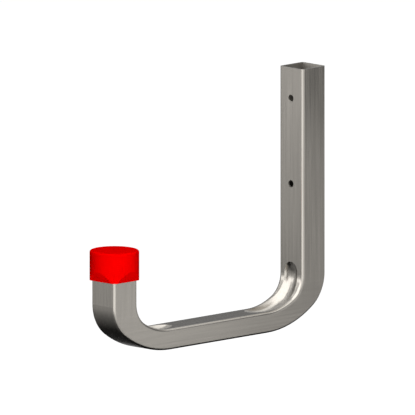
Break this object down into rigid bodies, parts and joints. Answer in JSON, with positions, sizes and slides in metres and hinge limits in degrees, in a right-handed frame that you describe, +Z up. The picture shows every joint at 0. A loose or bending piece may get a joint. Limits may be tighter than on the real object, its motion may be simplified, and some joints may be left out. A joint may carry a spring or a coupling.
{
  "type": "wall utility hook",
  "caption": "Deep J-shaped wall hook bent from square hollow steel tube, with a row of screw holes in its long leg and a push-on plastic cap on its short end.",
  "frame": {"origin": "on the wall face of the long leg, midway between the screw holes", "axes": "+Y into the wall, so the hook reaches out along -Y; +Z up; +X across the tube"},
  "size_m": [0.0376, 0.2323, 0.1976],
  "materials": {
    "steel_tube": "satin",
    "red_cap": "semi-gloss"
  },
  "bodies": {
    "root": {"hook_tube": "steel_tube", "end_cap": "red_cap"}
  },
  "joints": []
}
